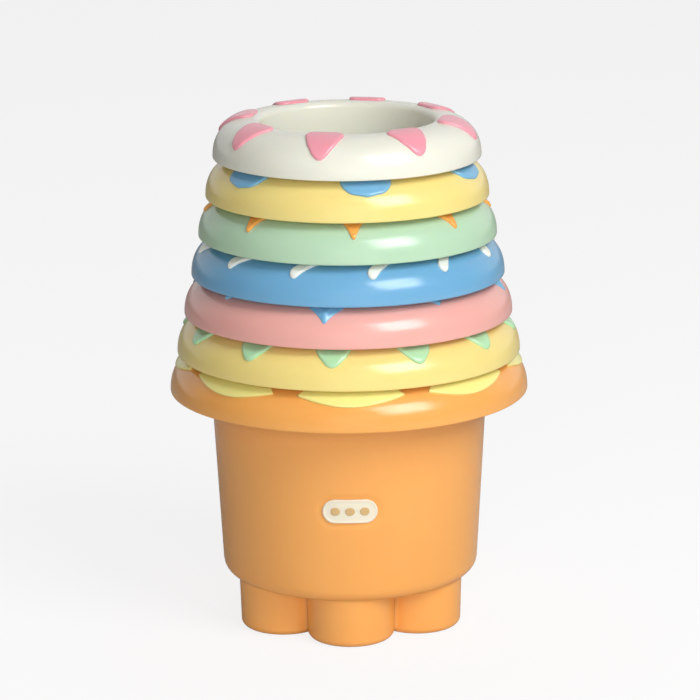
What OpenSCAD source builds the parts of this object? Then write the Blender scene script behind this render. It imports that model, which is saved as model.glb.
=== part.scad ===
// Stacking cup tower: seven nesting cups in descending sizes, each with a domed rim,
// raised shapes around the rim and a lobed foot.
// Units are millimetres. Z is up, the largest cup's foot stands on z = 0, the badge faces -Y.

/* [Node] */

/* [Tower] */
// Radius of the largest rim at its lower edge
rim_radius = 55.1; // [53:0.1:58]
// How much smaller in radius each next rim is
rim_step = 2.37; // [2.35:0.01:2.5]
// Height of the largest rim's lower edge above the ground
first_level = 72.9; // [71:0.1:76]
// Rise from one rim's lower edge to the next
rim_pitch = 12.1; // [12.05:0.05:12.6]
// Rise from one cup's foot to the next, when nested
foot_pitch = 17.5; // [17.3:0.1:18]

/* [Rim] */
// Height of a rim from its lower edge to its crest
rim_height = 11.7; // [11.5:0.1:11.7]
// Radial distance from the rim's lower edge in to its crest
rim_depth = 12.3; // [12.2:0.1:12.4]
// How square the rim's section is: 2 is an ellipse, more is squarer
rim_power = 2.33; // [2.1:0.01:2.5]
// Thickness of the rim's skin
skin = 1.8; // [1.6:0.1:1.9]
// How far the coloured shapes stand out of the rim
raise = 0.8; // [0.5:0.05:0.85]

/* [Body] */
// Thickness of a cup's wall and floor
wall = 2; // [1.8:0.05:2]
// Slope of a cup's wall, degrees from upright
draft = 3.1; // [2.8:0.1:3.3]
// Outside radius of the corner under a cup's wall
corner = 4; // [3:0.5:5]

/* [Foot] */
// Height of the largest cup's foot
foot_height = 15; // [13:0.5:15]
// How much shorter each next foot is
foot_step = 0.8; // [0.6:0.1:1]
// Radius of one lobe of the largest foot, at its top
lobe_radius = 13.6; // [13.6:0.05:13.7]
// Distance of the lobes from the axis, on the largest foot
lobe_ring = 24.9; // [24.9:0.05:25]
// Radius of the round hub between the lobes, on the largest foot
hub_radius = 20; // [18:0.5:22]
// Rounding of a lobe's lower edge
foot_round = 3; // [2:0.5:3.5]

/* [Badge] */
// Length of the oval badge
badge_length = 16.7; // [14:0.1:20]
// Height of the oval badge
badge_height = 7.5; // [6:0.1:9]
// Height of the badge's centre above the ground
badge_level = 44.8; // [35:0.1:55]
// Thickness of the badge
badge_thick = 1.1; // [0.9:0.1:1.2]

/* [Hidden] */

$fn = 96;
// Gap round each shape in its window, and between a skin and what lies under it
fit_gap = 0.1;
// Clear gap between one rim's crest and the shoulder of the cup above
seat_gap = 0.05;
// Distance from the rim's edge in to the outside of the cup's wall
wall_inset = rim_depth + 0.3;
// Width and drop of the rounding from the crest down into the mouth
lip = [wall_inset + wall - rim_depth, 2];
// Level of the step in the skirt that the retainer is pushed up against
step_level = 2.4;
// Thickness of the skirt below that step
skirt = 1.1;
// Level of the retainer's flat underside above the rim's edge
retainer_level = 0.9;
// Level of the inlay's lower edge above the rim's edge
inlay_level = 4;
// Thickness of the inlay's carrier
carrier = 1.4;
// Level at which the windows in the rim start
window_level = 5;
// How deep the badge is let into the wall
badge_sink = 0.6;
// Slope of the lobes' sides, degrees from upright
lobe_draft = 3;
// Angle at which the rounding into the mouth ends
lip_end = 157.5;
// How far the hollows in the foot reach up past the floor
hollow_over = 0.5;
// Size of step along drawn curves, degrees
curve_step = 11;

// Sizes of cup k, counted from the largest, which is 0
function rim(k) = rim_radius - k * rim_step;
function level(k) = first_level + k * rim_pitch;
function foot_level(k) = k * foot_pitch;
function foot(k) = foot_height - k * foot_step;
function body_level(k) = foot_level(k) + foot(k);
function wall_radius(k, z) = rim(k) - wall_inset - max(level(k) - z, 0) * tan(draft);
function foot_scale(k) = wall_radius(k, body_level(k)) / wall_radius(0, body_level(0));

// Point on the rim's section, w across and h high, at angle a
function arch_point(w, h, a) = [w * pow(cos(a), 2 / rim_power), h * pow(sin(a), 2 / rim_power)];
// Reach of that section at height z
function arch_reach(w, h, z) = w * pow(1 - pow(z / h, rim_power), 1 / rim_power);
// That section from height z up to its crest, moved to cup k
function arch(k, grow, z) = [
    for (p = concat(
        [[arch_reach(rim_depth + grow, rim_height + grow, z), z]],
        [for (a = [35:curve_step:90]) arch_point(rim_depth + grow, rim_height + grow, a)]
    )) [rim(k) - rim_depth + p[0], level(k) + p[1]]
];
function reversed(p) = [for (i = [len(p) - 1:-1:0]) p[i]];

// Direction of the outward side of the line from circle a to circle b, each [x, y, radius]
function side_angle(a, b) =
    let (d = [b[0] - a[0], b[1] - a[1]])
    atan2(d[1], d[0]) - acos((a[2] - b[2]) / norm(d));
// Outline of a band stretched round circles, listed anticlockwise, and grown by g
function stretched(c, g) = [
    for (i = [0:len(c) - 1])
    let (
        from = side_angle(c[(i + len(c) - 1) % len(c)], c[i]),
        sweep = (side_angle(c[i], c[(i + 1) % len(c)]) - from + 720) % 360,
        steps = ceil(sweep / 30)
    )
    for (j = [0:steps])
    [c[i][0], c[i][1]] + (c[i][2] + g) * [cos(from + sweep * j / steps), sin(from + sweep * j / steps)]
];
// Outline of a lens between two equal arcs, middle at x and arcs bent from d away
function lens(x, r, d, g) =
    let (half = acos(d / (r + g)))
    [
        for (side = [1, -1])
        for (j = [-5:4])
        [x - side * d, 0] + side * (r + g) * [cos(half * j / 5), sin(half * j / 5)]
    ];

// Shapes round each rim: how many, where the first one is (degrees from the front), and
// the circles each outline is stretched round, as [distance in from the rim's edge, y, radius]
SHAPES = [
    [8, 0.7, []],
    [12, -5.6, [[9.4, -2.8, 3], [7.1, 0, 5], [4.9, 0, 3.2], [7.1, 0, 5], [9.4, 2.8, 3]]],
    [4, -8.5, [[7.2, -4.4, 0.8], [2.8, 0, 0.8], [7.2, 4.4, 0.8], [11.6, 0, 0.8]]],
    [12, 10, [[3.8, -0.5, 1.5], [10.4, 6.1, 1.5]]],
    [8, 2.3, [[11.4, -3.8, 1], [2.8, 0, 0.8], [11.4, 3.8, 1]]],
    [6, 8.5, [[7, -3.1, 4.4], [6.95, 0, 4.95], [7, 3.1, 4.4]]],
    [8, -12, [[9.6, -2.9, 2.8], [6.7, 0, 4.7], [3.7, 0, 2.3], [6.7, 0, 4.7], [9.6, 2.9, 2.8]]]
];
// Small diamonds between the large ones on the third rim
SMALL_TURN = 45;
SMALL_DIAMOND = [[7, -1.6, 0.5], [5.4, 0, 0.5], [7, 1.6, 0.5], [8.6, 0, 0.5]];
// Long scallops on the largest rim: distance in, arc radius, distance of the arcs' centres
SCALLOP = [6.9, 28, 23.1];

// Outlines of all the shapes of cup k, seen from above and grown by g
module shape_outlines(k, g) {
    step = 360 / SHAPES[k][0];
    for (i = [0:SHAPES[k][0] - 1]) {
        rotate(SHAPES[k][1] + i * step - 90) {
            if (k == 0) {
                polygon(lens(rim(k) - SCALLOP[0], SCALLOP[1], SCALLOP[2], g));
            } else {
                outline(k, SHAPES[k][2], g);
            }
        }
        if (k == 2) {
            rotate(SHAPES[k][1] + SMALL_TURN + i * step - 90) outline(k, SMALL_DIAMOND, g);
        }
    }
}

module outline(k, circles, g) {
    polygon(stretched([for (c = circles) [rim(k) - c[0], c[1], c[2]]], g));
}

// Wall and domed rim of cup k as one turned solid, not yet hollowed
module turned_solid(k) {
    edge = rim(k);
    z0 = level(k);
    zb = body_level(k);
    crest = edge - rim_depth;
    out = wall_radius(k, zb + corner) - corner;
    rotate_extrude() {
        polygon(concat(
            [[0, zb]],
            [for (a = [-90:22.5:0]) [out + corner * cos(a), zb + corner + corner * sin(a)]],
            [[edge - wall_inset, z0], [edge - wall_inset, z0 + rim_height - skin]],
            reversed(arch(k, -skin, inlay_level)),
            [[edge - rim_depth + arch_reach(rim_depth - skin, rim_height - skin, step_level),
                z0 + step_level]],
            [[edge - skirt, z0 + step_level], [edge - skirt, z0]],
            [for (a = [0:10:80]) [crest, z0] + arch_point(rim_depth, rim_height, a)],
            [for (a = [90:22.5:lip_end]) lip_point(k, a)],
            [[0, lip_point(k, lip_end)[1]]]
        ));
    }
}

// Point on the rounding from the crest of cup k down into its mouth
function lip_point(k, a) =
    [rim(k) - rim_depth + lip[0] * cos(a), level(k) + rim_height - lip[1] * (1 - sin(a))];

// Inside of cup k, from its floor up past the mouth
module inside(k) {
    zf = body_level(k) + wall;
    mouth = rim(k) - wall_inset - wall;
    low = wall_radius(k, zf + corner / 2) - wall - corner / 2;
    rotate_extrude() {
        polygon(concat(
            [[0, zf]],
            [for (a = [-90:30:0]) [low, zf + corner / 2] + corner / 2 * [cos(a), sin(a)]],
            [[mouth, level(k)], [mouth, level(k) + 2 * rim_height], [0, level(k) + 2 * rim_height]]
        ));
    }
}

// Lobed foot of cup k, solid. Each lobe fills its own sixth, so that neighbours meet on a flat.
module foot_solid(k) {
    s = foot_scale(k);
    top = foot(k) + corner;
    base = (lobe_radius * s) - foot(k) * tan(lobe_draft);
    far = lobe_ring + 2 * lobe_radius;
    for (i = [0:5]) {
        rotate(60 * i) translate([0, 0, foot_level(k)]) intersection() {
            translate([0, -lobe_ring * s, 0]) rotate_extrude() {
                polygon(concat(
                    [[0, 0]],
                    [for (a = [-90:18:0])
                        [base - foot_round + foot_round * cos(a), foot_round + foot_round * sin(a)]],
                    [[lobe_radius * s, foot(k)], [lobe_radius * s, top], [0, top]]
                ));
            }
            linear_extrude(height = foot_height + corner) {
                polygon([[0, 0], [-far * tan(30), -far], [far * tan(30), -far]]);
            }
        }
    }
    translate([0, 0, foot_level(k)]) cylinder(h = foot(k) + wall / 2, r = hub_radius * s);
}

// Hollow inside that foot, open up into the cup
module foot_hollow(k) {
    s = foot_scale(k);
    tall = foot(k) + hollow_over;
    slope = foot(k) * tan(lobe_draft);
    translate([0, 0, foot_level(k) + wall]) {
        for (i = [0:5]) {
            rotate(60 * i) translate([0, -lobe_ring * s, 0]) {
                cylinder(h = tall, r1 = lobe_radius * s - slope - wall, r2 = lobe_radius * s - wall);
            }
        }
        cylinder(h = tall, r = hub_radius * s - wall);
    }
}

// Shell of cup k: foot, wall, floor and rim, with a window for each shape
module shell(k) {
    difference() {
        union() {
            turned_solid(k);
            foot_solid(k);
        }
        inside(k);
        foot_hollow(k);
        translate([0, 0, level(k) + window_level - fit_gap]) {
            linear_extrude(height = rim_height) shape_outlines(k, fit_gap);
        }
    }
}

// Inlay of cup k: a carrier ring under the rim, with the raised shapes standing on it
module inlay(k) {
    rotate_extrude() {
        polygon(concat(arch(k, -skin - fit_gap, inlay_level),
            reversed(arch(k, -skin - fit_gap - carrier, inlay_level))));
    }
    intersection() {
        translate([0, 0, level(k) + window_level]) {
            linear_extrude(height = rim_height) shape_outlines(k, 0);
        }
        rotate_extrude() {
            polygon(concat(
                arch(k, raise, window_level),
                [[rim(k) - wall_inset, level(k) + rim_height + raise]],
                [[rim(k) - wall_inset, level(k) + rim_height - skin - carrier]],
                reversed(arch(k, -skin - carrier, window_level))
            ));
        }
    }
}

// Retainer of cup k: closes the rim from below, holds the inlay up and seats on the cup beneath
module retainer(k) {
    edge = rim(k);
    z0 = level(k);
    bore = edge - wall_inset + fit_gap;
    seat = z0 + rim_height - rim_pitch + seat_gap;
    shoulder = edge - wall_inset + wall;
    foot_in = edge - rim_depth + arch_reach(rim_depth - skin - carrier, rim_height - skin - carrier, inlay_level);
    foot_out = foot_in + carrier;
    rotate_extrude() {
        polygon([
            [bore, seat],
            [shoulder, seat],
            [shoulder, z0 + retainer_level],
            [edge - skirt - fit_gap, z0 + retainer_level],
            [edge - skirt - fit_gap, z0 + step_level],
            [foot_out, z0 + step_level],
            [foot_out, z0 + inlay_level],
            [foot_in, z0 + inlay_level],
            [foot_in, z0 + step_level],
            [bore, z0 + step_level]
        ]);
    }
}

// Oval prism out through the front of the wall, grown by g
module badge_prism(g) {
    r = badge_height / 2;
    x = badge_length / 2 - r;
    translate([0, 0, badge_level]) rotate([90, 0, 0]) linear_extrude(height = rim_radius) {
        polygon(stretched([[x, 0, r], [-x, 0, r]], g));
    }
}

// Shell of cone that follows the largest cup's wall, from a to b outside it
module wall_band(a, b) {
    low = badge_level - badge_height;
    high = badge_level + badge_height;
    rotate_extrude() {
        polygon([
            [wall_radius(0, low) + a, low],
            [wall_radius(0, low) + b, low],
            [wall_radius(0, high) + b, high],
            [wall_radius(0, high) + a, high]
        ]);
    }
}

module badge() {
    color([0.96, 0.93, 0.85]) intersection() {
        badge_prism(0);
        wall_band(-badge_sink, badge_thick - badge_sink);
    }
}

module cup1_shell() {
    color([0.95, 0.58, 0.22]) difference() {
        shell(0);
        intersection() {
            badge_prism(fit_gap);
            wall_band(-badge_sink - fit_gap, wall);
        }
    }
}

module cup1_inlay() {
    color([0.98, 0.9, 0.42]) inlay(0);
}

module cup1_retainer() {
    color([0.95, 0.58, 0.22]) retainer(0);
}

module cup2_shell() {
    color([0.95, 0.82, 0.42]) shell(1);
}

module cup2_inlay() {
    color([0.56, 0.82, 0.58]) inlay(1);
}

module cup2_retainer() {
    color([0.95, 0.82, 0.42]) retainer(1);
}

module cup3_shell() {
    color([0.94, 0.62, 0.58]) shell(2);
}

module cup3_inlay() {
    color([0.42, 0.68, 0.86]) inlay(2);
}

module cup3_retainer() {
    color([0.94, 0.62, 0.58]) retainer(2);
}

module cup4_shell() {
    color([0.28, 0.58, 0.8]) shell(3);
}

module cup4_inlay() {
    color([0.95, 0.95, 0.92]) inlay(3);
}

module cup4_retainer() {
    color([0.28, 0.58, 0.8]) retainer(3);
}

module cup5_shell() {
    color([0.62, 0.82, 0.62]) shell(4);
}

module cup5_inlay() {
    color([0.97, 0.62, 0.28]) inlay(4);
}

module cup5_retainer() {
    color([0.62, 0.82, 0.62]) retainer(4);
}

module cup6_shell() {
    color([0.95, 0.82, 0.42]) shell(5);
}

module cup6_inlay() {
    color([0.42, 0.68, 0.86]) inlay(5);
}

module cup6_retainer() {
    color([0.95, 0.82, 0.42]) retainer(5);
}

module cup7_shell() {
    color([0.94, 0.94, 0.9]) shell(6);
}

module cup7_inlay() {
    color([0.93, 0.55, 0.62]) inlay(6);
}

module cup7_retainer() {
    color([0.94, 0.94, 0.9]) retainer(6);
}

cup1_shell();
cup1_inlay();
cup1_retainer();
cup2_shell();
cup2_inlay();
cup2_retainer();
cup3_shell();
cup3_inlay();
cup3_retainer();
cup4_shell();
cup4_inlay();
cup4_retainer();
cup5_shell();
cup5_inlay();
cup5_retainer();
cup6_shell();
cup6_inlay();
cup6_retainer();
cup7_shell();
cup7_inlay();
cup7_retainer();
badge();
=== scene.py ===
# %% [markdown]
# # A tower of stacking cups
# Seven toddler's cups in moulded plastic hang one inside the other. Each has a lobed foot, a plain
# tapered wall, and a domed rim with raised shapes in a second colour. This file dresses the exact
# model of the tower: every visible piece is modelled again with smooth, soft-edged surfaces, in the
# same place and to the same sizes, and gets a plastic that looks moulded rather than painted.

# %% Load the frame
import math
import bpy
import bmesh
from mathutils import Vector, Matrix


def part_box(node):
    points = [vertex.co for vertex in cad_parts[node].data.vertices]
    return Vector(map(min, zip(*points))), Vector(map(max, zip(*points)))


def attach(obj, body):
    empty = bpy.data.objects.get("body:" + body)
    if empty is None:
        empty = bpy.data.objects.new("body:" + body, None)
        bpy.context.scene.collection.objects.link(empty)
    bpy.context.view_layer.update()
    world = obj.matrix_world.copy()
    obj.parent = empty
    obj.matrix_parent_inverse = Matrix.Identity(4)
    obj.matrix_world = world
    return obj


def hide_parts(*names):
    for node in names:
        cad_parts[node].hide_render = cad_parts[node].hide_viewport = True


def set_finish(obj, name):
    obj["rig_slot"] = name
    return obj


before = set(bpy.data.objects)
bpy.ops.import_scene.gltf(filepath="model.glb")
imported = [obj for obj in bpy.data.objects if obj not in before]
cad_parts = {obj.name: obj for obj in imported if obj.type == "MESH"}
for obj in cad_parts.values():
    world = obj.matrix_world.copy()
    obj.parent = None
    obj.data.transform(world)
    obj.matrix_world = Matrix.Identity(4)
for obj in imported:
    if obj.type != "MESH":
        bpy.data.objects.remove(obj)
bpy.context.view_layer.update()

# %% [markdown]
# ## Sizes
# The cups are one family, so a few numbers and a step from cup to cup give them all. They are
# written in millimetres, as a toy maker would, and become metres when a mesh is finished. The rim's
# place is read back from the exact model, so the two can't drift apart.

# %% Sizes of the family
MM = 0.001
CUPS = 7
SIDES = 240                      # faces round a cup: a multiple of 12, so every lobe looks alike
RIM_HEIGHT, RIM_DEPTH, RIM_POWER, SKIN = 11.7, 12.3, 2.33, 1.8
WALL, CORNER, DRAFT = 2.0, 4.0, math.tan(math.radians(3.1))
WALL_INSET = RIM_DEPTH + 0.3
LOBES = 6
LOBE_RADIUS, LOBE_RING, HUB_RADIUS, FOOT_ROUND = 13.7, 23.8, 20.0, 2.2
LOBE_DRAFT = math.tan(math.radians(1.5))
RAISE = 0.8


def measured_rim(k):
    """Outside radius and top of cup k's rim, read from the exact model, in millimetres."""
    low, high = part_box(f"cup{k + 1}_shell")
    return (high.x - low.x) / 2 / MM, high.z / MM, low.z / MM


class Cup:
    """The sizes of cup k, counted from the largest, which is 0."""

    def __init__(self, k):
        self.k = k
        self.name = f"cup{k + 1}"
        self.edge, top, self.ground = measured_rim(k)
        self.level = top - RIM_HEIGHT
        self.crest = self.edge - RIM_DEPTH
        self.foot = 15 - 0.8 * k
        self.body = self.ground + self.foot
        self.scale = self.wall_radius(self.body) / 39.31

    def wall_radius(self, z):
        return self.edge - WALL_INSET - max(self.level - z, 0) * DRAFT


cups = [Cup(k) for k in range(CUPS)]
for c in cups:
    print(c.name, "rim", round(c.edge, 2), "at", round(c.level, 2), "foot scale", round(c.scale, 3))

# %% [markdown]
# ## Drawing with rings
# A cup is turned everywhere except at its foot, where the section is a flower of six lobes. A spin
# can't draw the flower, so the whole shell is grown ring by ring: a circle is extruded again and
# again, and each new ring is moved to the radius and height wanted at every angle. Turned parts and
# lobed parts then share one unbroken skin.

# %% Rings
def grow_rings(mesh, rings, sides, start=None, end=None):
    """Extrudes one closed ring after another. A ring is a function of a vertex's share of the way
    round, 0 to 1, and gives its place in millimetres. start and end close the ends at a point."""
    first = bmesh.ops.create_circle(mesh, segments=sides, radius=1.0)
    loop = first["verts"]
    loop.sort(key=lambda v: math.atan2(v.co.y, v.co.x) % math.tau)
    edges = list({e for v in loop for e in v.link_edges})
    for i, v in enumerate(loop):
        v.co = Vector(rings[0](i / sides))
    first_loop = list(loop)
    for ring in rings[1:]:
        grown = bmesh.ops.extrude_edge_only(mesh, edges=edges)["geom"]
        fresh = [g for g in grown if isinstance(g, bmesh.types.BMVert)]
        edges = [g for g in grown if isinstance(g, bmesh.types.BMEdge)]
        ahead = {}
        for v in loop:
            for e in v.link_edges:
                o = e.other_vert(v)
                if o in fresh:
                    ahead[v] = o
                    break
        loop = [ahead[v] for v in loop]
        for i, v in enumerate(loop):
            v.co = Vector(ring(i / sides))
    for point, verts in ((start, first_loop), (end, loop)):
        if point is not None:
            cap = bmesh.ops.contextual_create(mesh, geom=verts)["faces"]
            poked = bmesh.ops.poke(mesh, faces=cap)["verts"]
            poked[0].co = Vector(point)
    return first_loop, loop


def finish_piece(mesh, name, body, slot, replaced=()):
    """Turns a bmesh in millimetres into a smooth object in metres that rides on a body."""
    bmesh.ops.recalc_face_normals(mesh, faces=mesh.faces)
    bmesh.ops.scale(mesh, vec=(MM, MM, MM), verts=mesh.verts)
    for f in mesh.faces:
        f.smooth = True
    data = bpy.data.meshes.new(name)
    mesh.to_mesh(data)
    mesh.free()
    piece = bpy.data.objects.new(name, data)
    bpy.context.scene.collection.objects.link(piece)
    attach(piece, body)
    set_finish(piece, slot)
    if replaced:
        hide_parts(*replaced)
    print(name, len(data.polygons), "faces")
    return piece


def turned(r, z):
    """A plain round ring."""
    return lambda t: (r * math.cos(t * math.tau), r * math.sin(t * math.tau), z)


# %% [markdown]
# ## The rim's section
# The outside of the rim is squarer than a circle: it stands nearly upright at the edge and rolls
# over softly at the crest. A superellipse with a power a little above two draws that in one line.

# %% Rim section
def arch_point(w, h, a):
    """Point on the section, w across and h high, at angle a from the edge (0) to the crest (90)."""
    a = math.radians(a)
    return w * max(math.cos(a), 0) ** (2 / RIM_POWER), h * math.sin(a) ** (2 / RIM_POWER)


def arch_height(w, h, x):
    """Height of that section at a distance x out from the crest."""
    x = min(max(x, 0) / w, 1)
    return h * (1 - x ** RIM_POWER) ** (1 / RIM_POWER)


def arch_reach(w, h, z):
    """How far out from the crest the section is at height z."""
    return w * (1 - (z / h) ** RIM_POWER) ** (1 / RIM_POWER)


print("rim section:", RIM_DEPTH, "mm across and", RIM_HEIGHT, "mm high")


# %% [markdown]
# ## The lobed foot
# Six round lobes stand in a ring with one at the front, and a hub fills the middle. Seen from above
# the outline is six arcs that meet in valleys. Along a ray from the axis the arc of the nearest lobe
# is easy to solve, so the outline is a radius that depends on the angle.

# %% Foot outline
def lobe_reach(t, radius, ring, hub):
    """Distance out to the foot's outline at share t of the way round."""
    across = 360 / LOBES
    a = (t * 360 + 90) % across
    a = math.radians(min(a, across - a))
    inside = radius ** 2 - (ring * math.sin(a)) ** 2
    if inside <= 0:
        return max(hub, min(ring * math.cos(a), hub + 1.5))
    return max(hub, ring * math.cos(a) + math.sqrt(inside))


def lobed(cup, grow, z):
    """A ring round the foot with its lobes grown by grow, at height z (a number, or a function of
    the outline's reach)."""
    s = cup.scale

    def place(t):
        r = lobe_reach(t, LOBE_RADIUS * s + grow, LOBE_RING * s, max(HUB_RADIUS * s + min(grow, 0), 1))
        h = z(r) if callable(z) else z
        return r * math.cos(t * math.tau), r * math.sin(t * math.tau), h
    return place


print("largest lobes reach", LOBE_RING + LOBE_RADIUS, "mm from the axis")

# %% [markdown]
# ## The badge's bed
# On the largest cup the wall is let in a little round the oval badge, with a soft slope. It is made
# by pressing the wall's vertices inwards by their distance from the oval.

# %% Badge bed
BADGE = dict(length=16.7, height=7.5, level=44.8, bed=0.55, slope=1.9)


def oval_distance(x, z):
    """Distance outside the badge's oval, in millimetres, below 0 inside it."""
    half = BADGE["length"] / 2 - BADGE["height"] / 2
    return math.hypot(max(abs(x) - half, 0), z - BADGE["level"]) - BADGE["height"] / 2


def bed_depth(x, y, z):
    if y > 0:
        return 0.0
    d = max(oval_distance(x, z), 0) / BADGE["slope"]
    return BADGE["bed"] * (1 - min(d, 1) ** 2 * (3 - 2 * min(d, 1)))


def walled(cup, z):
    """A ring on the outside of the wall."""
    r = cup.wall_radius(z)

    def place(t):
        x, y = r * math.cos(t * math.tau), r * math.sin(t * math.tau)
        d = bed_depth(x, y, z) if cup.k == 0 else 0.0
        return x * (r - d) / r, y * (r - d) / r, z
    return place


# %% [markdown]
# ## Foot of a shell
# One shell is foot, wall and rim in one moulding, 2 mm thick. Its rings start at the middle of the
# foot's underside. The sole is flat with a soft edge, and the lobes lean in a little towards the
# ground, as they must for the moulding to leave its tool.

# %% Foot rings
def drawn_in(ring, share, level):
    """A flat ring with the outline of another, drawn in towards the axis."""
    def place(t):
        x, y, _ = ring(t)
        return x * share, y * share, level
    return place


def foot_rings(c):
    """The sole and the sides of the lobes, from the middle out and up."""
    lean = c.foot * LOBE_DRAFT
    sole = lobed(c, -lean - FOOT_ROUND, c.ground)
    rings = [turned(2.0, c.ground)] + [drawn_in(sole, share, c.ground) for share in (0.5, 0.8)]
    for a in range(0, 91, 10):
        a = math.radians(a)
        rings.append(lobed(c, -lean - FOOT_ROUND * (1 - math.sin(a)),
                           c.ground + FOOT_ROUND * (1 - math.cos(a))))
    for share in (0.3, 0.6, 0.9, 0.97):
        z = FOOT_ROUND + (c.foot - FOOT_ROUND) * share
        rings.append(lobed(c, -lean * (1 - share), c.ground + z))
    return rings


# %% [markdown]
# ## Body of a shell
# The lobes end under a flat belly that turns up into the wall with a round corner. The outline there
# is still a flower and the wall is a circle, so each ring goes its own share of the way between them,
# measured along the surface. The wall above is plain, apart from the bed of the badge.

# %% Body rings
def belly_rings(c):
    """From the lobes' outline along the belly and round the corner to the wall."""
    out = c.wall_radius(c.body + CORNER) - CORNER

    def under(r):
        return c.body + CORNER - math.sqrt(max(CORNER ** 2 - max(r - out, 0) ** 2, 0))

    def along(share):
        def place(t):
            start = lobe_reach(t, LOBE_RADIUS * c.scale, LOBE_RING * c.scale, HUB_RADIUS * c.scale)
            flat = max(out - start, 0)
            begun = 0.0 if start < out else math.asin(min((start - out) / CORNER, 1))
            way = share * (flat + CORNER * (math.pi / 2 - begun))
            if way < flat:
                r, z = start + way, c.body
            else:
                a = begun + (way - flat) / CORNER
                r, z = out + CORNER * math.sin(a), c.body + CORNER * (1 - math.cos(a))
            return r * math.cos(t * math.tau), r * math.sin(t * math.tau), z
        return place
    return [lobed(c, 0, under)] + [along(q) for q in (0.03, 0.12, 0.25, 0.4, 0.55, 0.7, 0.85, 1.0)]


def wall_rings(c):
    """The outside of the wall, with rings close together where the badge's bed is let in."""
    low, high = c.body + CORNER, c.level
    if c.k == 0:
        bed = BADGE["height"] / 2 + BADGE["slope"] + 0.5
        heights = [low + 4, BADGE["level"] - bed - 4]
        heights += [BADGE["level"] - bed + i * 2 * bed / 16 for i in range(17)]
        heights += [BADGE["level"] + bed + 4, high - 6]
    else:
        heights = [low + (high - low) * q for q in (0.2, 0.5, 0.8)]
    return [walled(c, z) for z in heights]


# %% [markdown]
# ## Rim of a shell
# The rim is hollow: the skin climbs inside it, comes down to a small step where the closing ring
# sits, turns round the rounded lower edge, and then follows the outside section up to the crest.

# %% Rim rings
EDGE_WALL, EDGE_ROUND = 1.1, 0.4       # the rim's lower edge: its thickness and its rounding
STEP_LEVEL = 2.4                       # the step that the closing ring sits against


def rim_rings(c):
    z0, edge, wall = c.level, c.edge, c.edge - WALL_INSET
    rings = [turned(wall, z0 - 0.3), turned(wall, z0 + 2), turned(wall, z0 + RIM_HEIGHT - SKIN - 0.5)]
    for a in (90, 80, 70, 60, 50, 40, 30, 22):
        x, z = arch_point(RIM_DEPTH - SKIN, RIM_HEIGHT - SKIN, a)
        rings.append(turned(c.crest + x, z0 + z))
    rings += [turned(edge - SKIN - 0.15, z0 + STEP_LEVEL + 0.2), turned(edge - SKIN - 0.1, z0 + STEP_LEVEL)]
    rings += [turned(edge - EDGE_WALL - 0.1, z0 + STEP_LEVEL)]
    rings += [turned(edge - EDGE_WALL, z0 + STEP_LEVEL - 0.2), turned(edge - EDGE_WALL, z0 + 0.5)]

    def lower_edge(centre, degrees):
        a = math.radians(degrees)
        return turned(edge - centre - EDGE_ROUND * math.cos(a), z0 + EDGE_ROUND * (1 - math.sin(a)))
    rings += [lower_edge(EDGE_WALL - EDGE_ROUND, a) for a in (0, 30, 60)]
    rings += [lower_edge(EDGE_WALL / 2, 90)]
    rings += [lower_edge(EDGE_ROUND, a) for a in (120, 150, 180)]
    for a in (*range(4, 53, 3), *range(56, 81, 4), 85, 90):
        x, z = arch_point(RIM_DEPTH, RIM_HEIGHT, a)
        rings.append(turned(c.crest + x, z0 + z))
    return rings


# %% [markdown]
# ## Inside of a shell
# From the crest the rings roll over the lip, go down the inside of the wall to the floor, and on
# into a hollow that follows the lobes, so the foot has even walls like the rest.

# %% Inside rings
LIP = WALL_INSET + WALL - RIM_DEPTH    # width of the lip from the crest in to the mouth
LIP_DROP, FLOOR_ROUND = 2.0, 2.0
HOLLOW_EDGE, HOLLOW_ROUND = 0.8, 1.5   # roundings at the top and the bottom of the foot's hollow


def mouth_rings(c):
    """Over the lip and down the inside of the wall to the floor."""
    rings = []
    for a in range(100, 181, 10):
        a = math.radians(a)
        rings.append(turned(c.crest + LIP * math.cos(a),
                            c.level + RIM_HEIGHT - LIP_DROP * (1 - math.sin(a))))
    rings.append(turned(c.edge - WALL_INSET - WALL, c.level + 2))
    floor_level = c.body + WALL
    for share in (0, 0.25, 0.5, 0.75):
        z = c.level + (floor_level + FLOOR_ROUND - c.level) * share
        rings.append(turned(c.wall_radius(z) - WALL, z))
    low = c.wall_radius(floor_level + FLOOR_ROUND) - WALL - FLOOR_ROUND
    for a in range(90, -1, -15):
        a = math.radians(a)
        rings.append(turned(low + FLOOR_ROUND * math.sin(a), floor_level + FLOOR_ROUND * (1 - math.cos(a))))
    return rings


def hollow_rings(c):
    """Down into the foot, WALL inside its lobes, and in to the middle."""
    lean = c.foot * LOBE_DRAFT
    top, bottom = c.body + WALL, c.ground + WALL
    rings = []
    for a in (0, 30, 60, 90):
        a = math.radians(a)
        rings.append(lobed(c, HOLLOW_EDGE * (1 - math.sin(a)) - WALL, top - HOLLOW_EDGE * (1 - math.cos(a))))
    for share in (0.3, 0.6, 0.9):
        rings.append(lobed(c, -WALL - lean * share, top - HOLLOW_EDGE - (c.foot - 2.5) * share))
    for a in (30, 60, 90):
        a = math.radians(a)
        rings.append(lobed(c, -WALL - lean - HOLLOW_ROUND * (1 - math.cos(a)),
                           bottom + HOLLOW_ROUND * (1 - math.sin(a))))
    last = lobed(c, -WALL - lean - HOLLOW_ROUND, bottom)
    return rings + [drawn_in(last, share, bottom) for share in (0.6, 0.3)]


# %% [markdown]
# ## The seven shells
# All the rings of a cup are grown as one skin, so the moulding is a single closed surface with no
# joins to hide. The two ends close at points on the axis, under the sole and inside the foot.

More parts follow.
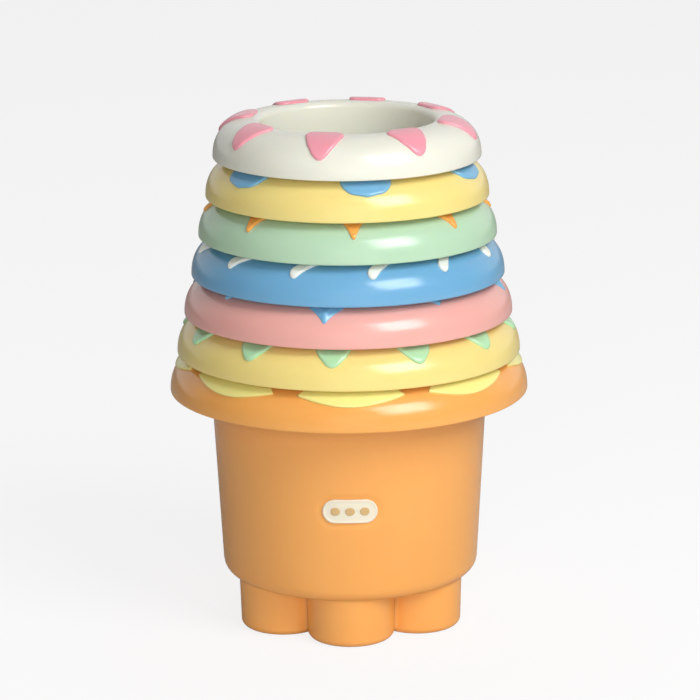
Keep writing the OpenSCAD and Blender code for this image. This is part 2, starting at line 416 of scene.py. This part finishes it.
# %% Shells
SHELL_SLOTS = ["orange_plastic", "yellow_plastic", "pink_plastic", "blue_plastic",
               "green_plastic", "yellow_plastic", "white_plastic"]
shells = []
for c in cups:
    mesh = bmesh.new()
    rings = foot_rings(c) + belly_rings(c) + wall_rings(c) + rim_rings(c) + mouth_rings(c) + hollow_rings(c)
    grow_rings(mesh, rings, SIDES, start=(0, 0, c.ground), end=(0, 0, c.ground + WALL))
    shells.append(finish_piece(mesh, f"{c.name}_moulded_shell", c.name, SHELL_SLOTS[c.k],
                               [f"{c.name}_shell"]))

# %% [markdown]
# ## Raised shapes
# The shapes are a second moulding that comes up through the rim from inside, so they stand a little
# proud and have soft edges. Each one is an outline, drawn as a band stretched round a few circles
# and seen from above, which is shrunk in rings towards its middle and laid on the rim's curve.

# %% Shapes of the rims
CARRIER_DEPTH = -2.0                   # a shape's lower end, on the carrier ring under the skin
SHAPES = [                             # scallops, U shapes, diamonds, bars, triangles, discs, petals
    dict(count=8, turn=0.7, lens=(6.9, 28, 23.1), soft=0.5),
    dict(count=12, turn=-5.6, soft=0.8, dish=0.3,
         circles=[(9.4, -2.8, 3), (7.1, 0, 5), (5.2, 0, 3.6), (7.1, 0, 5), (9.4, 2.8, 3)]),
    dict(count=4, turn=-8.5, soft=2.0, facet=True,
         circles=[(7.2, -4.4, 0.8), (2.8, 0, 0.8), (7.2, 4.4, 0.8), (11.6, 0, 0.8)]),
    dict(count=12, turn=10, soft=0.8, circles=[(3.8, -0.5, 1.5), (10.4, 6.1, 1.5)]),
    dict(count=8, turn=2.3, soft=0.7, circles=[(11.4, -3.8, 1), (2.8, 0, 0.8), (11.4, 3.8, 1)]),
    dict(count=6, turn=8.5, soft=0.5, circles=[(7, -3.1, 4.4), (6.95, 0, 4.95), (7, 3.1, 4.4)]),
    dict(count=8, turn=-12, soft=0.8,
         circles=[(9.6, -2.9, 2.8), (6.7, 0, 4.7), (4.6, 0, 3.45), (6.7, 0, 4.7), (9.6, 2.9, 2.8)]),
]
SMALL = dict(count=4, turn=36.5, soft=0.6,             # the small diamonds between the large ones
             circles=[(7, -1.6, 0.5), (5.4, 0, 0.5), (7, 1.6, 0.5), (8.6, 0, 0.5)])
print("raised shapes:", sum(shape["count"] for shape in SHAPES) + SMALL["count"])

# %% [markdown]
# ## Outlines of the shapes
# A band stretched round circles is a run of arcs joined by straight sides, and each arc begins where
# the side before it touches the circle. The points are then spaced evenly, so the quads are even.

# %% Outlines
def side_angle(a, b):
    d = Vector((b[0] - a[0], b[1] - a[1]))
    return math.atan2(d.y, d.x) - math.acos(max(-1, min(1, (a[2] - b[2]) / d.length)))


def stretched(circles):
    """Outline of a band stretched round circles listed anticlockwise."""
    points = []
    for i, c in enumerate(circles):
        start = side_angle(circles[i - 1], c)
        sweep = (side_angle(c, circles[(i + 1) % len(circles)]) - start) % math.tau
        steps = max(1, math.ceil(math.degrees(sweep) / 6))
        for j in range(steps + 1):
            a = start + sweep * j / steps
            points.append(Vector((c[0] + c[2] * math.cos(a), c[1] + c[2] * math.sin(a))))
    return points


def lens_outline(x, r, d):
    half = math.acos(d / r)
    points = []
    for side in (1, -1):
        for j in range(-24, 24):
            a = half * j / 24
            points.append(Vector((x - side * d + side * r * math.cos(a), side * r * math.sin(a))))
    return points


def evenly(points, count):
    """The same outline with its points spaced evenly."""
    loop = points + [points[0]]
    lengths = [0.0]
    for a, b in zip(loop, loop[1:]):
        lengths.append(lengths[-1] + (b - a).length)
    result, j = [], 0
    for i in range(count):
        want = lengths[-1] * i / count
        while lengths[j + 1] < want:
            j += 1
        share = (want - lengths[j]) / max(lengths[j + 1] - lengths[j], 1e-9)
        result.append(loop[j].lerp(loop[j + 1], share))
    return result


def outline_of(cup, shape):
    if "lens" in shape:
        x, r, d = shape["lens"]
        return evenly(lens_outline(cup.edge - x, r, d), 96)
    return evenly(stretched([(cup.edge - x, y, r) for x, y, r in shape["circles"]]), 72)


# %% [markdown]
# ## Laying a shape on the rim
# A plan outline becomes a solid by stacking rings of it. Each ring is laid on the rim and then moved
# along the surface's normal, so a flank stands square to the rim wherever it is. The last few rings
# draw in to round the edge, and the first lies on the hidden carrier ring that joins all the shapes.

# %% Raised shapes on a rim
def on_rim(cup, p, lift):
    """The point on the rim above the plan point p, moved out along the rim's normal by lift."""
    r = p.length
    x = r - cup.crest
    if x <= 0:
        z, slope = RIM_HEIGHT - 0.4 * (x / LIP) ** 2, 0.0
    else:
        z = arch_height(RIM_DEPTH, RIM_HEIGHT, x)
        step = 0.05
        beyond, before = (arch_height(RIM_DEPTH, RIM_HEIGHT, x + d) for d in (step, -step))
        slope = (beyond - before) / (2 * step)
    normal = Vector((-slope, 1)).normalized()
    far = (r + normal.x * lift) / r
    return Vector((p.x * far, p.y * far, cup.level + z + normal.y * lift))


def raised_shape(mesh, cup, shape, turn):
    outline = outline_of(cup, shape)
    middle = sum(outline, Vector((0, 0))) / len(outline)
    soft, dish = shape["soft"], shape.get("dish", 0)
    if shape.get("facet"):       # straight flanks up to a small flat top
        steps = [(CARRIER_DEPTH, 0.0), (0.1, 0.0), (0.2, 0.06), (0.28, 0.2), (0.6, soft * 0.6),
                 (0.86, soft * 0.95), (0.9, soft)]
    else:
        edge = min(soft, RAISE) * 0.8
        steps = [(CARRIER_DEPTH, 0.0), (RAISE - edge, 0.0)]
        for a in (20, 40, 60, 75, 90):
            a = math.radians(a)
            steps.append((RAISE - edge * (1 - math.sin(a)), soft * (1 - math.cos(a))))
    spin = Matrix.Rotation(turn, 3, "Z")

    def ring(lift, inset, share):
        def place(t):
            p = outline[round(t * len(outline)) % len(outline)]
            away = p - middle
            q = max(1 - inset / away.length, 0.05) * share
            return tuple(spin @ on_rim(cup, middle + away * q, lift))
        return place
    rings = [ring(lift, inset, 1) for lift, inset in steps]
    crown = steps[-1][0]
    for share in (0.86, 0.7, 0.5, 0.3):
        rings.append(ring(crown - dish * (1 - share ** 2), soft, share))
    base, top = on_rim(cup, middle, CARRIER_DEPTH), on_rim(cup, middle, crown - dish)
    grow_rings(mesh, rings, len(outline), start=tuple(spin @ base), end=tuple(spin @ top))


# %% [markdown]
# ## Carrier and inlays
# All the shapes of one rim are one moulding. Under the skin they stand on a thin carrier ring that
# follows the rim's section. It is grown as a strip and its two ends are bridged into a closed ring.

# %% Inlays
def inlay(cup):
    mesh = bmesh.new()
    for shape in [SHAPES[cup.k]] + ([SMALL] if cup.k == 2 else []):
        for i in range(shape["count"]):
            raised_shape(mesh, cup, shape, math.radians(shape["turn"] + 360 * i / shape["count"] - 90))
    z0 = cup.level
    gap, thick = 0.1, 1.4              # under the skin, and through the carrier
    w, h = RIM_DEPTH - SKIN - gap, RIM_HEIGHT - SKIN - gap
    band = [turned(cup.crest + x, z0 + z) for x, z in
            [(arch_reach(w, h, 4), 4)] + [arch_point(w, h, a) for a in range(35, 91, 11)]]
    w, h = w - thick, h - thick
    band += [turned(cup.crest + x, z0 + z) for x, z in
             [arch_point(w, h, a) for a in range(90, 34, -11)] + [(arch_reach(w, h, 4), 4)]]
    first, last = grow_rings(mesh, band, SIDES)
    edges = [e for v in first for e in v.link_edges if e.is_boundary]
    edges += [e for v in last for e in v.link_edges if e.is_boundary]
    bmesh.ops.bridge_loops(mesh, edges=list(set(edges)))
    return mesh


INLAY_SLOTS = ["lemon_inlay", "mint_inlay", "sky_inlay", "ivory_inlay",
               "apricot_inlay", "sky_inlay", "rose_inlay"]
inlays = []
for c in cups:
    inlays.append(finish_piece(inlay(c), f"{c.name}_raised_shapes", c.name, INLAY_SLOTS[c.k],
                               [f"{c.name}_inlay"]))

# %% [markdown]
# ## Retainers
# Under each rim a flat ring closes the channel and holds the inlay up. It is a plain turned part, so
# a half section spun once round the axis makes it.

# %% Retainer
def retainer(cup):
    e, z0 = cup.edge, cup.level
    seat = z0 - 0.35
    section = [(e - 12.5, seat + 0.2), (e - 12.3, seat), (e - 10.8, seat), (e - 10.6, seat + 0.2),
               (e - 10.6, z0 + 0.9), (e - 1.3, z0 + 0.9), (e - 1.2, z0 + 1.0), (e - 1.2, z0 + 2.4),
               (e - 2.62, z0 + 2.4), (e - 2.62, z0 + 4), (e - 4.02, z0 + 4), (e - 4.02, z0 + 2.4),
               (e - 12.5, z0 + 2.4)]
    mesh = bmesh.new()
    verts = [mesh.verts.new((r, 0, z)) for r, z in section]
    edges = [mesh.edges.new((a, b)) for a, b in zip(verts, verts[1:] + verts[:1])]
    bmesh.ops.spin(mesh, geom=verts + edges, axis=(0, 0, 1), cent=(0, 0, 0), angle=math.tau,
                   steps=SIDES, use_merge=True)
    bmesh.ops.remove_doubles(mesh, verts=mesh.verts, dist=0.001)
    return mesh


retainers = []
for c in cups:
    piece = finish_piece(retainer(c), f"{c.name}_closing_ring", c.name, SHELL_SLOTS[c.k],
                         [f"{c.name}_retainer"])
    bevel = piece.modifiers.new("soft edges", "BEVEL")
    bevel.width, bevel.segments = 0.08 * MM, 2
    bevel.limit_method, bevel.angle_limit = "ANGLE", math.radians(50)
    retainers.append(piece)

# %% [markdown]
# ## Badge
# A small ivory oval is pressed into the front of the largest cup. It follows the wall's curve, and a
# fine raised line runs round it. The field inside carries only a plain row of dots.

# %% Badge
def on_wall(x, z, lift):
    """A point on the front of the largest cup, x along the wall from the middle, lifted off it."""
    c = cups[0]
    r = c.wall_radius(z)
    return (r + lift) * math.sin(x / r), -(r + lift) * math.cos(x / r), z


def oval_patch(mesh, x, z, length, height, steps, sides=96):
    """An oval on the wall, grown inwards from its edge; steps are (lift, inset)."""
    half, r = (length - height) / 2, height / 2
    outline = evenly(stretched([(half, 0, r), (-half, 0, r)]), sides)

    def ring(lift, inset):
        def place(t):
            p = outline[round(t * sides) % sides]
            spine = Vector((max(-half, min(half, p.x)), 0))
            q = spine + (p - spine) * max(1 - inset / r, 0.03)
            return on_wall(x + q.x, z + q.y, lift)
        return place
    first, last = grow_rings(mesh, [ring(*s) for s in steps], sides)
    lids = [e for e in mesh.edges if e.is_boundary and e.verts[0] in last]
    bmesh.ops.holes_fill(mesh, edges=lids, sides=0)
    floor = [e for e in mesh.edges if e.is_boundary and e.verts[0] in first]
    bmesh.ops.holes_fill(mesh, edges=floor, sides=0)


mesh = bmesh.new()
oval_patch(mesh, 0, BADGE["level"], BADGE["length"], BADGE["height"],
           [(-0.6, 0.3), (-0.6, 0.0), (0.1, 0.0), (0.28, 0.06), (0.38, 0.22), (0.4, 0.42), (0.36, 0.6),
            (0.26, 0.72), (0.24, 1.0), (0.24, 2.0), (0.24, 3.0), (0.24, 3.6)])
badge = finish_piece(mesh, "oval_badge", "cup1", "badge_ivory", ["badge"])

mesh = bmesh.new()
for x in (-4.4, 0, 4.4):
    oval_patch(mesh, x, BADGE["level"], 2.9, 2.5,
               [(0.1, 0.2), (0.1, 0.0), (0.3, 0.0), (0.38, 0.06), (0.42, 0.2), (0.43, 0.6), (0.43, 1.1)], 40)
dots = finish_piece(mesh, "badge_dots", "cup1", "badge_ivory")

# %% [markdown]
# ## Shader helper
# Materials are sums written out in Python. A wrapped socket can be added to or multiplied by another
# socket or a number, and each operation adds the Math node that does it. The same sheet of nodes
# serves the plastics, the floor and the sky.

# %% Shader helper
class Wire:
    """An output socket that can be used in a Python expression."""

    def __init__(self, sheet, socket):
        self.sheet, self.socket = sheet, socket

    def _math(self, operation, *values):
        return self.sheet.node("ShaderNodeMath", dict(operation=operation), dict(enumerate(values)))

    def __add__(self, other):
        return self._math("ADD", self, other)

    def __radd__(self, other):
        return self._math("ADD", other, self)

    def __mul__(self, other):
        return self._math("MULTIPLY", self, other)

    def __rmul__(self, other):
        return self._math("MULTIPLY", other, self)

    def ranged(self, low, high, to_low=0.0, to_high=1.0):
        return self.sheet.node("ShaderNodeMapRange", dict(interpolation_type="SMOOTHSTEP"),
                               {"Value": self, "From Min": low, "From Max": high,
                                "To Min": to_low, "To Max": to_high})


class Sheet:
    """The nodes of a material or a world."""

    def __init__(self, owner):
        owner.use_nodes = True
        self.tree = owner.node_tree
        self.tree.nodes.clear()

    def node(self, kind, settings=None, values=None, out=0):
        n = self.tree.nodes.new(kind)
        for key, value in (settings or {}).items():
            setattr(n, key, value)
        for key, value in (values or {}).items():
            socket = n.inputs[key]
            if isinstance(value, Wire):
                self.tree.links.new(value.socket, socket)
            else:
                socket.default_value = value
        return Wire(self, n.outputs[out]) if n.outputs else None


# %% [markdown]
# ## Moulded plastic
# Nursery plastic is a glossy, slightly milky polymer. Light goes a little way in, so shadows stay
# rich in colour, and the surface is smooth with a very faint ripple from the mould, plus fine marks
# from handling that only change the gloss. Three noises at different sizes give the ripple, a slow
# drift of tint, and the handling marks.

# %% Plastic
def plastic(name, tint, deep, gloss=0.22, milk=0.2, depth=0.004):
    """tint is the colour and deep a richer tone of it, which a slow noise mixes in at random, both linear.
    """
    material = bpy.data.materials.new(name)
    s = Sheet(material)
    place = s.node("ShaderNodeTexCoord", out=3)
    drift = s.node("ShaderNodeTexNoise", dict(noise_dimensions="3D"),
                   {"Vector": place, "Scale": 22.0, "Detail": 3.0, "Roughness": 0.5})
    marks = s.node("ShaderNodeTexNoise", None,
                   {"Vector": place, "Scale": 420.0, "Detail": 5.0, "Roughness": 0.6})
    ripple = s.node("ShaderNodeTexNoise", None,
                    {"Vector": place, "Scale": 90.0, "Detail": 2.0, "Roughness": 0.4})
    share = drift.ranged(0.35, 0.65, 0.0, 0.16)
    colour = s.node("ShaderNodeMix", dict(data_type="RGBA"),
                    {0: share, 6: (*tint, 1), 7: (*deep, 1)}, out=2)
    rough = marks.ranged(0.35, 0.7, gloss - 0.03, gloss + 0.05)
    bump = s.node("ShaderNodeBump", None,
                  {"Height": ripple + marks * 0.04, "Strength": 0.06, "Distance": 0.0004})
    shader = s.node("ShaderNodeBsdfPrincipled", dict(subsurface_method="RANDOM_WALK"),
                    {"Base Color": colour, "Roughness": rough, "Normal": bump, "IOR": 1.46,
                     "Subsurface Weight": milk, "Subsurface Radius": (1.0, 0.55, 0.3),
                     "Subsurface Scale": depth, "Specular IOR Level": 0.75})
    s.node("ShaderNodeOutputMaterial", None, {"Surface": shader})
    return material


# %% [markdown]
# ## One finish for each moulding
# Each colour is a light tone and a deeper one of the same plastic, as linear values. The materials
# are then given to the pieces by the slot each piece was named with.

# %% Finishes
FINISHES = {
    "orange_plastic": plastic("orange plastic", (0.92, 0.42, 0.11), (0.9, 0.36, 0.06)),
    "yellow_plastic": plastic("yellow plastic", (0.9, 0.72, 0.26), (0.88, 0.64, 0.17)),
    "pink_plastic": plastic("pink plastic", (0.87, 0.44, 0.39), (0.84, 0.34, 0.3)),
    "blue_plastic": plastic("blue plastic", (0.17, 0.42, 0.66), (0.11, 0.35, 0.6)),
    "green_plastic": plastic("green plastic", (0.48, 0.69, 0.49), (0.38, 0.62, 0.4)),
    "white_plastic": plastic("white plastic", (0.81, 0.8, 0.7), (0.79, 0.77, 0.63)),
    "lemon_inlay": plastic("lemon plastic", (0.94, 0.85, 0.3), (0.92, 0.78, 0.22)),
    "mint_inlay": plastic("mint plastic", (0.46, 0.76, 0.45), (0.38, 0.7, 0.37)),
    "sky_inlay": plastic("sky plastic", (0.19, 0.45, 0.68), (0.14, 0.39, 0.64)),
    "ivory_inlay": plastic("ivory plastic", (0.86, 0.86, 0.78), (0.84, 0.82, 0.70)),
    "apricot_inlay": plastic("apricot plastic", (0.93, 0.4, 0.09), (0.91, 0.32, 0.05)),
    "rose_inlay": plastic("rose plastic", (0.9, 0.35, 0.42), (0.86, 0.27, 0.34)),
    "badge_ivory": plastic("badge ivory", (0.88, 0.80, 0.64), (0.84, 0.74, 0.56), gloss=0.34),
}
for piece in shells + inlays + retainers + [badge]:
    piece.data.materials.append(FINISHES[piece["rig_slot"]])
dots.data.materials.append(plastic("badge print", (0.72, 0.46, 0.20), (0.66, 0.40, 0.16), gloss=0.35))
print("finishes:", len(FINISHES))

# %% [markdown]
# ## Floor
# A plain pale sheet far larger than the view. What the camera sees of it is partly lit from within,
# like backlit paper, so it stays clean and even. For light that bounces it is a dimmer, slightly
# warm sheet, so the undersides of the cups keep their shade.

# %% Floor
mesh = bmesh.new()
bmesh.ops.create_grid(mesh, x_segments=1, y_segments=1, size=6.0)
data = bpy.data.meshes.new("floor")
mesh.to_mesh(data)
mesh.free()
floor = bpy.data.objects.new("floor", data)
bpy.context.scene.collection.objects.link(floor)
paper = bpy.data.materials.new("floor paper")
s = Sheet(paper)
seen = s.node("ShaderNodeLightPath")
lit = s.node("ShaderNodeBsdfDiffuse", None, {"Color": (0.95, 0.95, 0.95, 1)})
glow = s.node("ShaderNodeEmission", None, {"Color": (1, 1, 1, 1), "Strength": 1.0})
pale = s.node("ShaderNodeMixShader", None, {0: 0.82, 1: lit, 2: glow})
dim = s.node("ShaderNodeBsdfDiffuse", None, {"Color": (0.62, 0.60, 0.58, 1)})
s.node("ShaderNodeOutputMaterial", None,
       {"Surface": s.node("ShaderNodeMixShader", None, {0: seen, 1: dim, 2: pale})})
data.materials.append(paper)
print("floor:", floor.dimensions.x, "m square")

# %% [markdown]
# ## Light
# The paper behind the tower is bright and the room in front is dim, so the sides pick up a thin
# pale edge. One soft box stands at the front right and draws the broad highlight down the rims, and
# a wide one at the front fills in without showing as a reflection.

# %% Light
world = bpy.data.worlds.new("studio")
bpy.context.scene.world = world
s = Sheet(world)
toward = s.node("ShaderNodeTexCoord")
back = s.node("ShaderNodeSeparateXYZ", None, {"Vector": toward}, out=1)
s.node("ShaderNodeOutputWorld", None, {"Surface": s.node(
    "ShaderNodeBackground", None, {"Color": (1, 1, 1, 1), "Strength": back.ranged(0.1, 0.7, 0.08, 0.8)})})


def soft_light(name, azimuth, height, away, size, power, mirrored=True):
    """A square soft box, its place given in degrees right of the camera and above the ground."""
    a, h = math.radians(azimuth), math.radians(height)
    middle = Vector((0, 0, 0.09))
    place = middle + away * Vector((math.sin(a) * math.cos(h), -math.cos(a) * math.cos(h), math.sin(h)))
    lamp = bpy.data.lights.new(name, "AREA")
    lamp.shape, lamp.size, lamp.energy = "SQUARE", size, power
    holder = bpy.data.objects.new(name, lamp)
    holder.location = place
    holder.rotation_euler = (middle - place).to_track_quat("-Z", "Y").to_euler()
    holder.visible_glossy = mirrored
    bpy.context.scene.collection.objects.link(holder)
    print(name, "light at", [round(v, 2) for v in place])


soft_light("key", 41, 40, 1.2, 0.62, 10.0)
soft_light("fill", 2, 10, 1.9, 1.2, 22.0, mirrored=False)

# %% [markdown]
# ## Camera
# A long lens a metre away looks down on the tower by about fourteen degrees, enough to see a little
# way into the top cup. The view transform is the plain one, so colours come out as they are mixed.

# %% Camera
camera_data = bpy.data.cameras.new("camera")
camera_data.lens, camera_data.sensor_width = 173.6, 36
camera_data.clip_start, camera_data.clip_end = 0.05, 20
camera = bpy.data.objects.new("camera", camera_data)
bpy.context.scene.collection.objects.link(camera)
camera.matrix_world = (Matrix.Translation((0.0004, -1.0085, 0.3422))
                       @ Matrix.Rotation(math.radians(90 - 14.346), 4, "X")
                       @ Matrix.Rotation(math.radians(-0.5), 4, "Z"))
bpy.context.scene.camera = camera
print("camera at", [round(v, 3) for v in camera.matrix_world.translation])
bpy.context.scene.view_settings.view_transform = "Standard"
